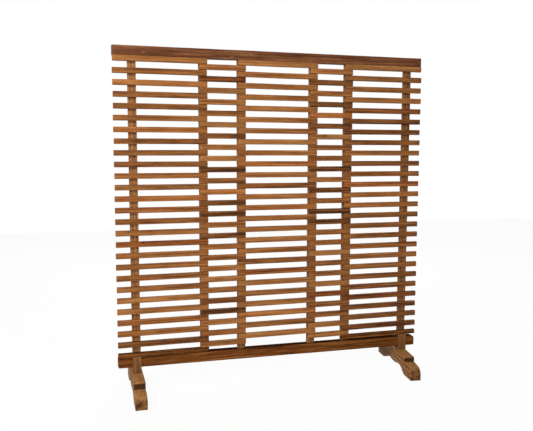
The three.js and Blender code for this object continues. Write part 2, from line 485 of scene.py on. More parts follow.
    def _marked(self, graph: Graph, colour: Signal, place: Place, seed: Signal) -> Signal:
        """Darkens the wood towards the bottom and adds scuffs and nicks, where the finish has them.

        Args:
            graph: The material's graph.
            colour: The wood's colour.
            place: The place on the piece.
            seed: The board's seed, which moves the scuffs.

        Returns:
            The colour.
        """
        x, _, z = place
        # Below darker_below the wood grows darker towards the bottom.
        if self.darker_below:
            darkening_below = z.ramp(self.darker_below * 1.3, self.darker_below * 0.8)
            colour = graph.mix(darkening_below * 0.4, colour, self.shadow)
        if self.scuff_spacing:
            scuffs = self._spots(graph, place, seed + 0.37, self.scuff_spacing, self.scuff_radius)
            colour = graph.mix(scuffs * 0.7, colour, self.honey)
        for nick_x, nick_z in self.nicks:
            offset = graph.vector((x - nick_x) / self.nick_half[0], 0.0, (z - nick_z) / self.nick_half[1])
            distance = graph.node("ShaderNodeVectorMath", {"operation": "LENGTH"}, {0: offset}, "Value")
            colour = graph.mix(distance.ramp(1.0, 0.4) * 0.85, colour, self.honey)
        return colour


SLAT_WOOD = WoodFinish(
    "slat_wood", Axis.X, tint(62, 32, 14), tint(136, 84, 42), tint(180, 124, 70), contrast=1.1,
    spread=0.7, knot_spacing=260 * MM, knot_radius=6 * MM, end_shade=0.15, worn_edge=0.15, specular=0.08,
)
# The two lowest slats take a copy of the slat wood whose level faces get full painted shade.
LOWEST_SLAT_SHADED_WOOD = replace(SLAT_WOOD, name="lowest_slat_painted_shade_wood", painted_level_shade=1.0, specular=0.0)
POST_WOOD = WoodFinish(
    "post_wood", Axis.Z, tint(66, 36, 18), tint(140, 90, 48), tint(190, 142, 92), contrast=1.1,
    spread=0.3, painted_level_shade=0.3, darker_below=200 * MM,
)
TOP_RAIL_WOOD = WoodFinish(
    "top_rail_wood", Axis.X, tint(44, 20, 9), tint(102, 59, 33), tint(150, 104, 66), contrast=0.9,
    spread=0.1, streak_width=12 * MM, worn_edge=0.2, scuff_spacing=300 * MM,
    nicks=((-0.718, 1.799), (-0.251, 1.793), (-0.146, 1.813)),
)
# The bottom rail's level faces get full painted shade, so that its top reads dark.
BOTTOM_RAIL_WOOD = WoodFinish(
    "bottom_rail_wood", Axis.X, tint(46, 22, 8), tint(108, 62, 27), tint(148, 96, 50),
    spread=0.1, streak_width=12 * MM, painted_level_shade=1.0, specular=0.0,
)
# The feet's top faces get painted light through painted_top_light.
FOOT_WOOD = WoodFinish(
    "foot_wood", Axis.Y, tint(50, 27, 12), tint(136, 90, 46), tint(182, 132, 77), spread=0.3,
    streak_width=8 * MM, painted_level_shade=0.0, end_shade=0.86, worn_edge=0.1, painted_top_light=0.4, worn_toes=0.75,
)
PEG_WOOD = WoodFinish(
    "peg_wood", Axis.Y, tint(56, 32, 16), tint(116, 76, 42), tint(152, 106, 62), painted_level_shade=0.0,
    end_shade=0.25,
)


@dataclass(frozen=True)
class NailFinish:
    """Wire nails that have browned in the weather."""

    name: str = "browned_steel"
    steel: Colour = tint(96, 84, 74)
    rust: Colour = tint(92, 52, 30)
    rust_size: float = 20 * MM

    def material(self) -> bpy.types.Material:
        """Builds the material.

        Returns:
            The new material.
        """
        material, graph = new_material(self.name)
        spots = graph.vector(*[part / self.rust_size for part in graph.parts(graph.place())])
        rust = graph.noise(spots, 4.0, 0.7).ramp(0.4, 0.6)
        inputs = {
            "Base Color": graph.mix(rust, self.steel, self.rust),
            "Roughness": 0.4 + rust * 0.4,
            "Metallic": 0.9 - rust * 0.8,
        }
        graph.finish(graph.node("ShaderNodeBsdfPrincipled", None, inputs), "ShaderNodeOutputMaterial")
        return material


# ------------------------------------------------------------------ modelling by hand


Picker = Callable[[Union[bmesh.types.BMEdge, bmesh.types.BMFace]], bool]


class Bench:
    """Blender's own modelling tools, as calls that say what they work on."""

    @staticmethod
    def clear() -> None:
        """Leaves nothing selected."""
        if bpy.context.object is not None and bpy.context.object.mode != "OBJECT":
            bpy.ops.object.mode_set(mode="OBJECT")
        bpy.ops.object.select_all(action="DESELECT")

    @staticmethod
    def select(piece: bpy.types.Object) -> None:
        """Selects one object alone and makes it active.

        Args:
            piece: The object.
        """
        Bench.clear()
        piece.select_set(True)
        bpy.context.view_layer.objects.active = piece

    @staticmethod
    def settle(piece: bpy.types.Object) -> None:
        """Puts an object's place, turn and scale into its mesh, so that it sits at the origin."""
        Bench.select(piece)
        bpy.ops.object.transform_apply(location=True, rotation=True, scale=True)

    @staticmethod
    def block(name: str, low: Vector, high: Vector) -> bpy.types.Object:
        """Adds a block.

        Args:
            name: The object's name.
            low: Its lowest corner.
            high: Its highest corner.

        Returns:
            The block, with its place in its mesh.
        """
        Bench.clear()
        bpy.ops.mesh.primitive_cube_add(size=1, location=(low + high) / 2, scale=high - low)
        block = bpy.context.object
        block.name = name
        Bench.settle(block)
        return block

    @staticmethod
    def pick(piece: bpy.types.Object, wanted: Picker, faces: bool = False) -> None:
        """Enters edit mode with only the wanted edges or faces selected.

        Args:
            piece: The object.
            wanted: Tells which are wanted.
            faces: Whether it is asked about faces, and not edges.
        """
        Bench.select(piece)
        bpy.ops.object.mode_set(mode="EDIT")
        bpy.ops.mesh.select_mode(type="FACE" if faces else "EDGE")
        bpy.ops.mesh.select_all(action="DESELECT")
        mesh = bmesh.from_edit_mesh(piece.data)
        for element in mesh.faces if faces else mesh.edges:
            element.select_set(wanted(element))
        mesh.select_flush_mode()
        bmesh.update_edit_mesh(piece.data)

    @staticmethod
    def done() -> None:
        """Leaves edit mode."""
        bpy.ops.object.mode_set(mode="OBJECT")

    @staticmethod
    def ease(piece: bpy.types.Object, wanted: Picker, width: float, segments: int) -> None:
        """Rounds the wanted edges over.

        Args:
            piece: The object.
            wanted: Tells which edges are rounded.
            width: How far the rounding reaches from the edge.
            segments: How many faces it has.
        """
        Bench.pick(piece, wanted)
        bpy.ops.mesh.bevel(offset=width, offset_type="OFFSET", segments=segments, affect="EDGES")
        Bench.done()

    @staticmethod
    def apply(piece: bpy.types.Object, kind: str, **settings: object) -> None:
        """Adds a modifier and applies it.

        Args:
            piece: The object.
            kind: The modifier's type.
            settings: Its properties.
        """
        Bench.select(piece)
        modifier = piece.modifiers.new(kind.title(), kind)
        for name, value in settings.items():
            setattr(modifier, name, value)
        bpy.ops.object.modifier_apply(modifier=modifier.name)

    @staticmethod
    def smooth(piece: bpy.types.Object, angle_deg: float = 40.0) -> None:
        """Shades a piece smooth, except over sharp edges."""
        Bench.select(piece)
        bpy.ops.object.shade_smooth_by_angle(angle=math.radians(angle_deg))

    @staticmethod
    def joined(name: str, parts: list[bpy.types.Object]) -> bpy.types.Object:
        """Joins several objects into one.

        Args:
            name: The joined object's name.
            parts: The objects, which are used up.

        Returns:
            The joined object, unmoved.
        """
        Bench.select(parts[0])
        for part in parts:
            part.select_set(True)
        if len(parts) > 1:
            bpy.ops.object.join()
        whole = bpy.context.object
        whole.name = name
        whole.data.name = name
        return whole

    @staticmethod
    def copied(piece: bpy.types.Object, shift: Vector) -> bpy.types.Object:
        """Copies an object with its own mesh.

        Args:
            piece: The object to copy.
            shift: How far the copy is moved.

        Returns:
            The copy, with its place in its mesh.
        """
        twin = piece.copy()
        twin.data = piece.data.copy()
        bpy.context.scene.collection.objects.link(twin)
        twin.location = shift
        Bench.settle(twin)
        return twin

    @staticmethod
    def sow(piece: bpy.types.Object, shade: float, hue: float, seed: float) -> None:
        """Gives a board its own look, in numbers between 0 and 1.

        Args:
            piece: The board.
            shade: Its shade, from dark to light.
            hue: Its hue, from grey to red.
            seed: Picks its figure.
        """
        mesh = piece.data
        attribute = mesh.attributes.get(BOARD_SEED)
        if attribute is None:
            attribute = mesh.attributes.new(BOARD_SEED, "FLOAT_VECTOR", "POINT")
        attribute.data.foreach_set("vector", [shade, hue, seed] * len(mesh.vertices))

    @staticmethod
    def finish(
        piece: bpy.types.Object, material: bpy.types.Material, slot: Optional[str], nodes: list[str]
    ) -> None:
        """Gives a piece its material and says what it rides on and stands for.

        Args:
            piece: The finished piece.
            material: Its material.
            slot: Not used.
            nodes: The frame's nodes that it stands for, if any.
        """
        piece.data.materials.clear()
        piece.data.materials.append(material)
        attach(piece, BODY)
        if nodes:
            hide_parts(*nodes)
        LOG.info("%s: %d faces", piece.name, len(piece.data.polygons))


def runs_along(edge: bmesh.types.BMEdge, axis: Axis) -> bool:
    """Tells whether an edge runs along an axis."""
    run = edge.verts[1].co - edge.verts[0].co
    return run.length > 0 and abs(run[axis.value]) > STRAIGHT * run.length


def lies_at(edge: bmesh.types.BMEdge, axis: Axis, place: float) -> bool:
    """Tells whether both ends of an edge lie at this place on an axis."""
    return all(abs(vert.co[axis.value] - place) < TOUCHING for vert in edge.verts)


def everything(_: bmesh.types.BMEdge) -> bool:
    """Picks all there is."""
    return True


def cloud(name: str, size: float) -> bpy.types.Texture:
    """Gives a soft cloud texture for slight unevenness, which is made when it is first asked for.

    Args:
        name: The texture's name.
        size: How far apart its highs and lows are.

    Returns:
        The texture.
    """
    texture = bpy.data.textures.get(name)
    if texture is None:
        texture = bpy.data.textures.new(name, "CLOUDS")
        texture.noise_scale = size
        texture.noise_depth = 1
    return texture


def share(value: float) -> float:
    """Keeps a value between 0 and 1."""
    return min(1.0, max(0.0, value))


# ------------------------------------------------------------------ sub-assemblies


@dataclass
class Timber:
    """A board sawn to size, with eased edges and a slightly uneven surface."""

    arris: float = 2.2 * MM
    arris_segments: int = 3
    cut_spacing: float = 45 * MM
    bow: float = 1.2 * MM
    bow_length: float = 350 * MM
    dents: float = 0.5 * MM
    dent_length: float = 50 * MM

    def saw(self, name: str, low: Vector, high: Vector, grain: Axis) -> bpy.types.Object:
        """Makes a board with eased edges.

        Args:
            name: The object's name.
            low: Its lowest corner.
            high: Its highest corner.
            grain: The way it is long.

        Returns:
            The board, cut across its length so that it can bow.
        """
        board = Bench.block(name, low, high)
        cuts = max(2, round((high - low)[grain.value] / self.cut_spacing))
        Bench.pick(board, lambda edge: runs_along(edge, grain))
        bpy.ops.mesh.subdivide(number_cuts=cuts)
        Bench.done()

        def outer(edge: bmesh.types.BMEdge) -> bool:
            """Tells whether an edge lies on two of the board's outer faces."""
            sides = [(axis, corner[axis.value]) for axis in Axis for corner in (low, high)]
            return sum(lies_at(edge, axis, place) for axis, place in sides) >= 2

        Bench.ease(board, outer, self.arris, self.arris_segments)
        return board

    def weather(self, board: bpy.types.Object, bow_way: str = "Z") -> None:
        """Bows a board a little and leaves shallow dents in it.

        Args:
            board: The board.
            bow_way: The axis that it bows along.
        """
        waves = (
            ("bow", self.bow_length, bow_way, self.bow),
            ("dents", self.dent_length, "NORMAL", self.dents),
        )
        for name, length, way, strength in waves:
            Bench.apply(
                board, "DISPLACE", texture=cloud(name, length), texture_coords="GLOBAL", direction=way,
                strength=strength, mid_level=0.5,
            )


class Bay(Enum):
    """The bays of the screen, in the order in which a course's slats are laid."""

    WIDE_LEFT = 0
    WIDE_CENTRE = 1
    WIDE_RIGHT = 2
    NARROW_LEFT = 3
    NARROW_RIGHT = 4


@dataclass
class SlatField:
    """The slats, laid like a log cabin: three wide ones on two narrow ones in each course.

    A shade runs from 0 for dark to 1 for light. Courses are counted from the top.
    """

    seed: int = 26
    slat_height: float = 29.1 * MM
    end_play: float = 2.5 * MM
    face_play: float = 1.0 * MM
    first_lift: float = 1.5 * MM
    left_lowest_lift: float = 0.0
    right_lowest_lift: float = 3.5 * MM
    dark_left: frozenset = frozenset({2, 7, 10, 13, 14, 16, 22, 23})
    light_left: frozenset = frozenset({4, 8, 9, 12, 20})
    dark_right: frozenset = frozenset({2, 6, 10, 12, 14, 15, 22})
    light_right: frozenset = frozenset({5, 7, 11, 17, 18})
    dark_shade: tuple[float, float] = (0.12, 0.26)
    light_shade: tuple[float, float] = (0.62, 0.75)
    lowest_shade: tuple[float, float] = (0.15, 0.3)
    first_shade: float = 0.6
    # The mean shade of each bay's slats, in the order of Bay. The right bays are darker, partly from their
    # own tone and partly as painted light falloff towards the right.
    bay_shade_and_falloff: tuple[float, ...] = (0.5, 0.52, 0.43, 0.48, 0.44)
    shade_play: float = 0.12
    hue_play: float = 0.2
    timber: Timber = field(default_factory=lambda: Timber(bow=1.6 * MM, dents=0.7 * MM))

    def build(self, material: bpy.types.Material, lowest_material: bpy.types.Material) -> None:
        """Makes a piece for each course and one for each of the two lowest slats.

        Args:
            material: The slats' material.
            lowest_material: The material of the two slats on the bottom rail, whose level faces get full
                painted shade.
        """
        dice = random.Random(self.seed)
        posts = [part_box(f"post_{number}") for number in range(1, POST_COUNT + 1)]
        for number in range(1, COURSES + 1):
            self._course(number, posts, material, dice)
        for side, lift in (("left", self.left_lowest_lift), ("right", self.right_lowest_lift)):
            node = f"bottom_slat_{side}"
            low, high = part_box(node)
            level = (low.z + lift, high.z + lift)
            slat = self._slat(node, (low.x, high.x), level, (low.y, high.y), dice)
            Bench.sow(slat, dice.uniform(*self.lowest_shade), 0.5, dice.random())
            self._dress(Bench.joined(f"lowest_slat_{side}", [slat]), lowest_material, node)

    def _course(
        self, number: int, posts: list[tuple[Vector, Vector]], material: bpy.types.Material,
        dice: random.Random,
    ) -> None:
        """Makes the piece of one course.

        Args:
            number: The course's number.
            posts: The lowest and highest corner of each post.
            material: The slats' material.
            dice: Gives each slat its own small differences.
        """
        node = f"slat_course_{number:02d}"
        low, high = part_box(node)
        lift = self.first_lift if number == 1 else 0.0
        base, top = low.z + lift, high.z + lift
        middle = (base + top) / 2
        spans = {
            Bay.WIDE_LEFT: ((low.x, posts[1][1].x), (middle, top)),
            Bay.WIDE_CENTRE: ((posts[2][0].x, posts[3][1].x), (middle, top)),
            Bay.WIDE_RIGHT: ((posts[4][0].x, high.x), (middle, top)),
            Bay.NARROW_LEFT: ((posts[1][0].x, posts[2][1].x), (base, middle)),
            Bay.NARROW_RIGHT: ((posts[3][0].x, posts[4][1].x), (base, middle)),
        }
        slats = []
        for bay, (span, level) in spans.items():
            slat = self._slat(bay.name.lower(), span, level, (low.y, high.y), dice)
            hue = share(dice.gauss(0.5, self.hue_play))
            Bench.sow(slat, self._shade(number, bay, dice), hue, dice.random())
            slats.append(slat)
        self._dress(Bench.joined(f"slats_{number:02d}", slats), material, node)

    def _shade(self, number: int, bay: Bay, dice: random.Random) -> float:
        """Gives a slat's shade.

        Args:
            number: The slat's course.
            bay: Its bay.
            dice: Gives each slat its own small difference.

        Returns:
            The shade.
        """
        if number in {Bay.NARROW_LEFT: self.dark_left, Bay.NARROW_RIGHT: self.dark_right}.get(bay, ()):
            return dice.uniform(*self.dark_shade)
        if number in {Bay.NARROW_LEFT: self.light_left, Bay.NARROW_RIGHT: self.light_right}.get(bay, ()):
            return dice.uniform(*self.light_shade)
        if number == 1:
            return self.first_shade
        return share(dice.gauss(self.bay_shade_and_falloff[bay.value], self.shade_play))

    def _slat(
        self, name: str, span: tuple[float, float], level: tuple[float, float], depth: tuple[float, float],
        dice: random.Random,
    ) -> bpy.types.Object:
        """Makes one slat.

        Args:
            name: The object's name.
            span: Its ends along X.
            level: The bottom and top of its place.
            depth: Its front and back.
            dice: Gives each slat its own small differences.

        Returns:
            The slat, with eased edges.
        """
        height = min(self.slat_height, level[1] - level[0])
        middle = (level[0] + level[1]) / 2
        start = span[0] + dice.uniform(0.0, self.end_play)
        end = span[1] - dice.uniform(0.0, self.end_play)
        front = depth[0] + dice.uniform(0.0, self.face_play)
        low = Vector((start, front, middle - height / 2))
        high = Vector((end, depth[1], middle + height / 2))
        return self.timber.saw(name, low, high, Axis.X)

    def _dress(self, piece: bpy.types.Object, material: bpy.types.Material, node: str) -> None:
        """Weathers a course and puts it in the frame.

        Args:
            piece: The course's slats.
            material: Their material.
            node: The node that they stand for.
        """
        self.timber.weather(piece)
        Bench.smooth(piece)
        Bench.finish(piece, material, "slat_wood", [node])


@dataclass
class Posts:
    """Six flat posts behind the slats. The outer two are thicker from the lowest slat down to the feet."""

    seed: int = 6
    block_side: float = 1.5 * MM
    block_front: float = 6.2 * MM
    block_back: float = 2.0 * MM
    block_base: float = 100 * MM
    block_top: float = 202 * MM
    block_look: tuple[float, float, float] = (0.4, 0.6, 0.4)
    left_shade: float = 0.8
    painted_light_falloff: float = 0.07
    shade_play: float = 0.08
    hues: tuple[float, float] = (0.4, 0.7)
    timber: Timber = field(default_factory=lambda: Timber(arris=1.6 * MM, bow=0.6 * MM, cut_spacing=60 * MM))

    def build(self, material: bpy.types.Material) -> None:
        """Makes a piece for each post. They are darker further right as painted light falloff, and each has
        its own random difference.

        Args:
            material: The posts' material.
        """
        dice = random.Random(self.seed)
        for number in range(1, POST_COUNT + 1):
            node = f"post_{number}"
            low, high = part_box(node)
            post = self.timber.saw(f"upright_{number}", low, high, Axis.Z)
            self.timber.weather(post, "Y")
            # Each post's shade falls towards the right as painted light falloff, and the dice then add its
            # own difference.
            shade = self.left_shade - self.painted_light_falloff * number
            shade += dice.uniform(-self.shade_play, self.shade_play)
            Bench.sow(post, shade, dice.uniform(*self.hues), dice.random())
            parts = [post]
            if number in (1, POST_COUNT):
                parts.append(self._block(low, high))
            whole = Bench.joined(f"upright_{number}", parts)
            Bench.smooth(whole)
            Bench.finish(whole, material, "post_wood", [node])

    def _block(self, low: Vector, high: Vector) -> bpy.types.Object:
        """Makes the thick lower part of an outer post, which shows before and below the bottom rail.

        Args:
            low: The post's lowest corner.
            high: Its highest corner.

        Returns:
            The block.
        """
        rail_low, rail_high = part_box("bottom_rail")
        base = Vector((low.x - self.block_side, rail_low.y - self.block_front, self.block_base))
        top = Vector((high.x + self.block_side, rail_high.y - self.block_back, self.block_top))
        block = self.timber.saw("block", base, top, Axis.Z)
        Bench.sow(block, *self.block_look)
        return block


@dataclass
class Nails:
    """Wire nails driven through the posts from behind, one wherever a slat crosses a post."""

    radius: float = 2.6 * MM
    proud: float = 0.9 * MM
    buried: float = 2.0 * MM
    rim: float = 0.5 * MM
    stagger: float = 7.0 * MM
    sides: int = 10

    def build(self, material: bpy.types.Material) -> None:
        """Makes a piece for each post, of nails copied from one nail.

        Args:
            material: The nails' material.
        """
        nail = self._nail()
        first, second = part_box("slat_course_01"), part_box("slat_course_02")
        pitch = first[0].z - second[0].z
        wide_z, narrow_z = first[1].z - pitch / 4, first[1].z - pitch * 3 / 4
        for number in range(1, POST_COUNT + 1):
            low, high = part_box(f"post_{number}")
            middle = (low.x + high.x) / 2
            rows = [(middle - self.stagger, wide_z)]
            if number not in (1, POST_COUNT):
                rows.append((middle + self.stagger, narrow_z))
            columns = []
            for x, z in rows:
                column = Bench.copied(nail, Vector((x, high.y, z)))
                Bench.apply(
                    column, "ARRAY", count=COURSES, use_relative_offset=False, use_constant_offset=True,
                    constant_offset_displace=(0.0, 0.0, -pitch),
                )
                columns.append(column)
            Bench.finish(Bench.joined(f"nails_{number}", columns), material, None, [])
        bpy.data.objects.remove(nail)

    def _nail(self) -> bpy.types.Object:
        """Makes a nail's head at the origin, facing +Y, with its rim rounded over.

        Returns:
            The nail.
        """
        Bench.clear()
        bpy.ops.mesh.primitive_cylinder_add(
            vertices=self.sides, radius=self.radius, depth=self.proud + self.buried,
            location=(0.0, (self.proud - self.buried) / 2, 0.0), rotation=(math.pi / 2, 0.0, 0.0),
        )
        nail = bpy.context.object
        nail.name = "nail"
        Bench.settle(nail)
        Bench.ease(nail, lambda edge: lies_at(edge, Axis.Y, self.proud), self.rim, segments=2)
        Bench.smooth(nail)
        return nail


@dataclass
class Rail:
    """A rail with rounded ends, which may lie lower and at a slight tilt.

    Attributes:
        node: The node that it stands for.
        left_corner: How round its left end's two corners are, seen from the front.
        right_corners: The same for the bottom and the top corner of its right end.
        seed: Picks its figure.
        tilt_deg: How far its right end is turned down.
        drop: How far its middle lies below the node's.
        slack_mm: How much smaller it is than the node at each end along X, Y and Z, which leaves
            room for its bow and dents.
        corner_segments: How many faces each corner has.
    """

    node: str
    left_corner: float
    right_corners: tuple[float, float]
    seed: float
    tilt_deg: float = 0.0
    drop: float = 0.0
    slack_mm: tuple[float, float, float] = (0.8, 0.6, 0.6)
    corner_segments: int = 6
    timber: Timber = field(
        default_factory=lambda: Timber(arris=3.2 * MM, arris_segments=4, bow=1.0 * MM, dents=1.0 * MM)
    )

    def build(self, material: bpy.types.Material, slot: str) -> None:
        """Makes the rail.

        Args:
            material: Its material.
            slot: Passed on to Bench.finish, which does not use it.
        """
        low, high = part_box(self.node)
        slack = Vector(self.slack_mm) * MM
        rail = self._beam(low + slack, high - slack)
        if self.tilt_deg:
            middle = (low + high) / 2
            turn = Matrix.Rotation(math.radians(self.tilt_deg), 4, "Y")
            fall = Vector((0.0, 0.0, -self.drop))
            rail.matrix_world = Matrix.Translation(middle + fall) @ turn @ Matrix.Translation(-middle)
            Bench.settle(rail)
        Bench.sow(rail, 0.5, 0.5, self.seed)
        Bench.smooth(rail)
        Bench.finish(rail, material, slot, [self.node])

    def _beam(self, low: Vector, high: Vector) -> bpy.types.Object:
        """Makes the level rail, with its corners and edges rounded over.

        Args:
            low: Its lowest corner.
            high: Its highest corner.

        Returns:
            The rail, weathered.
        """
        rail = Bench.block(f"{self.node}_beam", low, high)
        corners = (
            (low.x, low.z, self.left_corner),
            (low.x, high.z, self.left_corner),
            (high.x, low.z, self.right_corners[0]),
            (high.x, high.z, self.right_corners[1]),
        )
        for x, z, radius in corners:
            Bench.ease(
                rail, lambda edge: lies_at(edge, Axis.X, x) and lies_at(edge, Axis.Z, z),
                radius, self.corner_segments,
            )
        Bench.ease(
            rail, lambda edge: lies_at(edge, Axis.Y, low.y) or lies_at(edge, Axis.Y, high.y),
            self.timber.arris, self.timber.arris_segments,
        )
        length = high.x - low.x
        Bench.pick(rail, lambda edge: runs_along(edge, Axis.X) and edge.calc_length() > length / 2)
        bpy.ops.mesh.subdivide(number_cuts=round(length / self.timber.cut_spacing))
        Bench.done()
        self.timber.weather(rail)
        return rail


@dataclass
class Foot:
    """A bracket foot: a carved block with a hump, two toes and an arch under it.

    The outline is drawn from the middle of the underside round one toe to the middle of the hump,
    by extruding an edge along straight stretches and spinning it round the bends. _y and _z say
    where that edge is.
    """

    side: str
    turn_deg: float = 0.0
    length: float = 540 * MM
    width: float = 62 * MM
    height: float = 108 * MM
    hump_length: float = 342 * MM
    hump_corner: float = 9 * MM
    hump_crown: float = 3 * MM
    riser: float = 28 * MM
    toe_fall: float = 6 * MM
    toe_round: float = 42 * MM
    pad_length: float = 86 * MM
    arch_height: float = 37 * MM
    arch_spread: float = 178 * MM
    arch_drop: float = 9 * MM
    arris: float = 3.0 * MM
    first_strip: float = 2 * MM
    seed: float = 0.3
    shade: float = 0.5
    shift_x: float = 0.0
    _y: float = field(default=0.0, init=False)
    _z: float = field(default=0.0, init=False)

    def build(self, material: bpy.types.Material) -> None:
        """Makes the foot.

        Args:
            material: Its material.
        """
        node = f"foot_{self.side}"
        low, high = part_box(node)
        foot = self._start()
        self._draw()
        Bench.done()
        self._close(foot)
        foot.rotation_euler.z = math.radians(self.turn_deg)
        foot.location.x = (low.x + high.x) / 2 + self.shift_x
        Bench.settle(foot)
        Bench.sow(foot, self.shade, 0.5, self.seed)
        Bench.smooth(foot, 35.0)
        Bench.finish(foot, material, "foot_wood", [node])

    def _start(self) -> bpy.types.Object:
        """Lays a narrow strip across the middle of the underside and picks its leading edge.

        Returns:
            The strip, in edit mode.
        """
        self._y, self._z = self.first_strip, self.arch_height - self.arch_drop
        Bench.clear()
        bpy.ops.mesh.primitive_plane_add(size=1, location=(0.0, 0.0, self._z))
        foot = bpy.context.object
        foot.name = f"bracket_foot_{self.side}"
        foot.scale = (self.width, 2 * self.first_strip, 1)
        Bench.settle(foot)
        Bench.pick(foot, lambda edge: runs_along(edge, Axis.X) and edge.verts[0].co.y > 0)
        return foot

    def _draw(self) -> None:
        """Draws the outline: arch, pad, toe, step and hump."""
        self._sway(self.arch_spread / 2, self.arch_height, steps=8)
        self._sway(self.length / 2 - self.pad_length, 0.0, steps=8)
        self._go(self.pad_length, 0.0, steps=4)
        toe_rim = self.height - self.hump_crown - self.riser - self.toe_fall
        self._go(0.0, toe_rim - self.toe_round, steps=2)
        self._bend((self._y - self.toe_round, self._z), math.pi / 2, steps=10)
        self._swell(self.hump_length / 2, self.toe_fall, steps=4)
        self._go(0.0, self.riser - self.hump_corner, steps=1)
        self._bend((self._y - self.hump_corner, self._z), math.pi / 2, steps=5)
        self._swell(0.0, self.hump_crown, steps=8)

    def _go(self, dy: float, dz: float, steps: int) -> None:
        """Extrudes the leading edge in equal steps.

        Args:
            dy: How far it goes along Y in all.
            dz: How far it goes along Z in all.
            steps: How many steps there are.
        """
        for _ in range(steps):
            move = {"value": (0.0, dy / steps, dz / steps)}
            bpy.ops.mesh.extrude_edges_move(TRANSFORM_OT_translate=move)
        self._y += dy
        self._z += dz

    def _bend(self, centre: tuple[float, float], turn: float, steps: int) -> None:
        """Spins the leading edge.

        Args:
            centre: What it turns about, as y and z.
            turn: The angle, from +Y towards +Z. The operator takes it the other way round.
            steps: How many faces there are.
        """
        bpy.ops.mesh.spin(
            steps=steps, angle=-turn, center=(0.0, *centre), axis=(1.0, 0.0, 0.0), use_auto_merge=False
        )
        y, z = self._y - centre[0], self._z - centre[1]
        cos, sin = math.cos(turn), math.sin(turn)
        self._y = centre[0] + y * cos - z * sin
        self._z = centre[1] + y * sin + z * cos

    def _sway(self, y: float, z: float, steps: int) -> None:
        """Goes outwards by two equal arcs, which start and end level.

        Args:
            y: Where they end.
            z: The height at which they end.
            steps: How many faces each has.
        """
        run, rise = y - self._y, z - self._z
        radius = (run * run + rise * rise) / (4 * abs(rise))
        turn = 2 * math.atan(abs(rise) / run)
        way = 1.0 if rise > 0 else -1.0
        self._bend((self._y, self._z + way * radius), way * turn, steps)
        self._bend((y, z - way * radius), -way * turn, steps)

    def _swell(self, y: float, rise: float, steps: int) -> None:
        """Goes inwards while it rises by a quarter wave, which ends level.

        Args:
            y: Where it ends.
            rise: How far it rises.
            steps: How many faces it has.
        """
        run = (y - self._y) / steps
        heights = [rise * math.sin(step / steps * math.pi / 2) for step in range(steps + 1)]
        for last, height in zip(heights, heights[1:]):
            self._go(run, height - last, steps=1)

    def _close(self, foot: bpy.types.Object) -> None:
        """Mirrors the half, fills both sides and rounds the long edges over.

        Args:
            foot: The half outline, as an open strip.
        """
        sides = (-self.width / 2, self.width / 2)
        Bench.pick(foot, everything)
        bpy.ops.mesh.bisect(plane_co=(0, 0, 0), plane_no=(0, 1, 0), clear_inner=True)
        Bench.done()
        Bench.apply(foot, "MIRROR", use_axis=(False, True, False), merge_threshold=0.5 * MM)
        for side in sides:
            Bench.pick(foot, lambda edge: lies_at(edge, Axis.X, side))
            bpy.ops.mesh.edge_face_add()
            Bench.done()
        Bench.pick(foot, everything)
        bpy.ops.mesh.normals_make_consistent(inside=False)
        Bench.done()
        Bench.ease(
            foot, lambda edge: any(lies_at(edge, Axis.X, side) for side in sides), self.arris, segments=3
        )


@dataclass
class Pegs:
    """Turned pegs with domed heads, through the tenons from behind and through the feet from outside."""

    seed: int = 14
    sides: int = 16
    rim: float = 1.2 * MM
    crown: float = 0.8 * MM
    crown_rises: tuple[float, float] = (0.7, 0.3)
    crown_ring: float = 0.3

    def build(self, material: bpy.types.Material) -> None:
        """Makes a piece for each peg.

        Args:
            material: The pegs' material.
        """
        dice = random.Random(self.seed)
        quarter = math.pi / 2
        back = Matrix.Rotation(-quarter, 4, "X")
        left = Matrix.Rotation(-quarter, 4, "Y")
        right = Matrix.Rotation(quarter, 4, "Y")
        for row in ("top", "bottom"):
            for number in range(1, POST_COUNT + 1):
                self._peg(f"peg_{row}_{number}", back, 0.0, material, dice)
        self._peg("peg_foot_left", left, 0.0, material, dice)
        self._peg("peg_foot_right", right, RIGHT_FOOT_SHIFT, material, dice)

    def _peg(
        self, node: str, turn: Matrix, shift_x: float, material: bpy.types.Material, dice: random.Random
    ) -> None:
        """Makes a peg in its node's place.

        Args:
            node: The node.
            turn: Turns the peg's head from +Z to where it faces.
            shift_x: How far it is moved along X.
            material: Its material.
            dice: Gives each peg its own look.
        """
        low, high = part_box(node)
        radius = (high.z - low.z) / 2
        depth = max(high - low) - self.crown
        Bench.clear()
        bpy.ops.mesh.primitive_cylinder_add(vertices=self.sides, radius=radius, depth=depth)
        peg = bpy.context.object
        peg.name = node.replace("peg", "dowel")
        for end, segments in ((-depth / 2, 2), (depth / 2, 3)):
            Bench.ease(peg, lambda edge: lies_at(edge, Axis.Z, end), self.rim, segments)
        Bench.pick(peg, lambda face: face.normal.z > STRAIGHT, faces=True)
        for rise in self.crown_rises:
            bpy.ops.mesh.inset(thickness=radius * self.crown_ring, depth=self.crown * rise)
        Bench.done()
        middle = (low + high) / 2 + Vector((shift_x, 0.0, 0.0))
        under_crown = Matrix.Translation((0.0, 0.0, -self.crown / 2))
        peg.matrix_world = Matrix.Translation(middle) @ turn @ under_crown
        Bench.settle(peg)
        Bench.sow(peg, dice.random(), dice.random(), dice.random())
        Bench.smooth(peg)
        Bench.finish(peg, material, "peg_wood", [node])


# ------------------------------------------------------------------ stage, light and camera


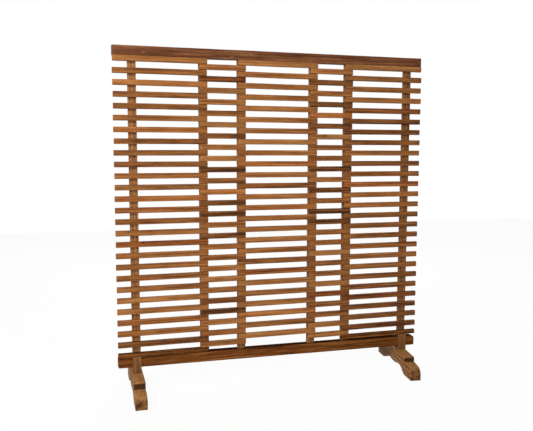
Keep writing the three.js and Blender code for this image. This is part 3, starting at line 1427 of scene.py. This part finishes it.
@dataclass(frozen=True)
class Viewpoint:
    """Where the camera stood, in metres and radians, and its focal length in pixels of a 533 x 431 frame."""

    place: tuple[float, float, float] = (-1.0398, -3.4266, 1.311)
    yaw: float = -0.2811
    pitch: float = -0.1043
    roll: float = -0.0029
    focal_px: float = 642.5
    frame_px: int = 533
    sensor_mm: float = 36.0
    reach: float = 50.0

    def build(self) -> None:
        """Makes the scene's camera."""
        data = bpy.data.cameras.new("camera")
        data.sensor_fit = "HORIZONTAL"
        data.sensor_width = self.sensor_mm
        data.lens = self.focal_px / self.frame_px * self.sensor_mm
        data.clip_end = self.reach
        camera = bpy.data.objects.new("camera", data)
        bpy.context.scene.collection.objects.link(camera)
        aim = Matrix.Rotation(self.yaw, 4, "Z") @ Matrix.Rotation(self.pitch, 4, "X")
        aim = aim @ Matrix.Rotation(self.roll, 4, "Y") @ Matrix.Rotation(math.pi / 2, 4, "X")
        camera.matrix_world = Matrix.Translation(self.place) @ aim
        bpy.context.scene.camera = camera


@dataclass(frozen=True)
class Lamp:
    """A soft square lamp that looks at a point."""

    name: str
    place: tuple[float, float, float]
    target: tuple[float, float, float]
    size: float
    watts: float

    def build(self) -> None:
        """Makes the lamp."""
        data = bpy.data.lights.new(self.name, "AREA")
        data.shape = "SQUARE"
        data.size = self.size
        data.energy = self.watts
        lamp = bpy.data.objects.new(self.name, data)
        bpy.context.scene.collection.objects.link(lamp)
        lamp.location = self.place
        lamp.rotation_euler = (Vector(self.target) - Vector(self.place)).to_track_quat("-Z", "Y").to_euler()


@dataclass(frozen=True)
class Studio:
    """A pale floor, a white surround and three soft lamps."""

    ambient: float = 0.37
    floor_size: float = 14.0
    floor_gap: float = 0.3 * MM
    floor_white: Colour = (0.8, 0.8, 0.8, 1.0)
    floor_glow: float = 0.95
    lamps: tuple[Lamp, ...] = (
        Lamp("key", (-3.2, -3.3, 3.4), (-0.2, 0.0, 0.9), 2.0, 228.0),
        Lamp("fill", (2.8, -4.0, 2.2), (0.0, 0.0, 0.9), 2.5, 10.0),
        Lamp("back", (1.2, 4.2, 3.0), (0.0, 0.0, 0.9), 2.5, 150.0),
    )

    def build(self) -> None:
        """Makes the floor, the world and the lamps."""
        self._world()
        self._floor()
        for lamp in self.lamps:
            lamp.build()
        bpy.context.scene.view_settings.view_transform = "Standard"

    @staticmethod
    def _seen(graph: Graph) -> Signal:
        """Gives 1 where the camera looks, or what it sees in gloss or through glass."""
        outputs = graph.node("ShaderNodeLightPath").socket.node.outputs
        direct, glossy, through = [
            Signal(graph, outputs[f"Is {kind} Ray"]) for kind in ("Camera", "Glossy", "Transmission")
        ]
        return direct.larger(glossy).larger(through)

    def _world(self) -> None:
        """Lights the object evenly, and shows white behind it."""
        world = bpy.data.worlds.new("studio")
        bpy.context.scene.world = world
        world.use_nodes = True
        graph = Graph(world.node_tree)
        strength = self.ambient + self._seen(graph) * (1.0 - self.ambient)
        light = graph.node("ShaderNodeBackground", None, {0: WHITE, 1: strength})
        graph.finish(light, "ShaderNodeOutputWorld")

    def _floor(self) -> None:
        """Makes a pale floor that keeps a soft shadow."""
        Bench.clear()
        bpy.ops.mesh.primitive_plane_add(size=self.floor_size, location=(0, 0, -self.floor_gap))
        floor = bpy.context.object
        floor.name = "floor"
        material, graph = new_material("pale_floor")
        matt = graph.node("ShaderNodeBsdfDiffuse", None, {0: self.floor_white})
        glow = graph.node("ShaderNodeEmission", None, {0: WHITE, 1: 1.0})
        factor = self._seen(graph) * self.floor_glow
        both = graph.node("ShaderNodeMixShader", None, {0: factor, 1: matt, 2: glow})
        graph.finish(both, "ShaderNodeOutputMaterial")
        floor.data.materials.append(material)


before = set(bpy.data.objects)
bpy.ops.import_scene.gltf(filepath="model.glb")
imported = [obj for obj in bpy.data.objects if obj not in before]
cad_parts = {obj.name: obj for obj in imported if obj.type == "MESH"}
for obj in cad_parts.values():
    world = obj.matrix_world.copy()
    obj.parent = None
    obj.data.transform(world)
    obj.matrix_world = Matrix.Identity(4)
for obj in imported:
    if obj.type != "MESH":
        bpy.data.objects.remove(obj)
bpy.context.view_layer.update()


def main() -> None:
    """Builds the camera, the studio and each sub-assembly."""
    logging.basicConfig(level=logging.INFO, format="%(message)s")
    Viewpoint().build()
    Studio().build()
    SlatField().build(SLAT_WOOD.material(), LOWEST_SLAT_SHADED_WOOD.material())
    Posts().build(POST_WOOD.material())
    Nails().build(NailFinish().material())
    top_rail = Rail("top_rail", left_corner=4 * MM, right_corners=(4 * MM, 4 * MM), seed=0.2)
    top_rail.build(TOP_RAIL_WOOD.material(), "top_rail_wood")
    bottom_rail = Rail(
        "bottom_rail", left_corner=9 * MM, right_corners=(9 * MM, 15 * MM), seed=0.7, tilt_deg=0.43,
        drop=6 * MM,
    )
    bottom_rail.build(BOTTOM_RAIL_WOOD.material(), "bottom_rail_wood")
    left_foot = Foot("left", riser=34 * MM, seed=0.3, shade=0.45)
    left_foot.build(FOOT_WOOD.material())
    right_foot = Foot("right", RIGHT_FOOT_TURN_DEG, seed=0.8, shade=0.2, shift_x=RIGHT_FOOT_SHIFT)
    turned_wood = replace(FOOT_WOOD, name="foot_wood_turned", turn_deg=RIGHT_FOOT_TURN_DEG)
    right_foot.build(turned_wood.material())
    Pegs().build(PEG_WOOD.material())


if __name__ == "__main__":
    main()
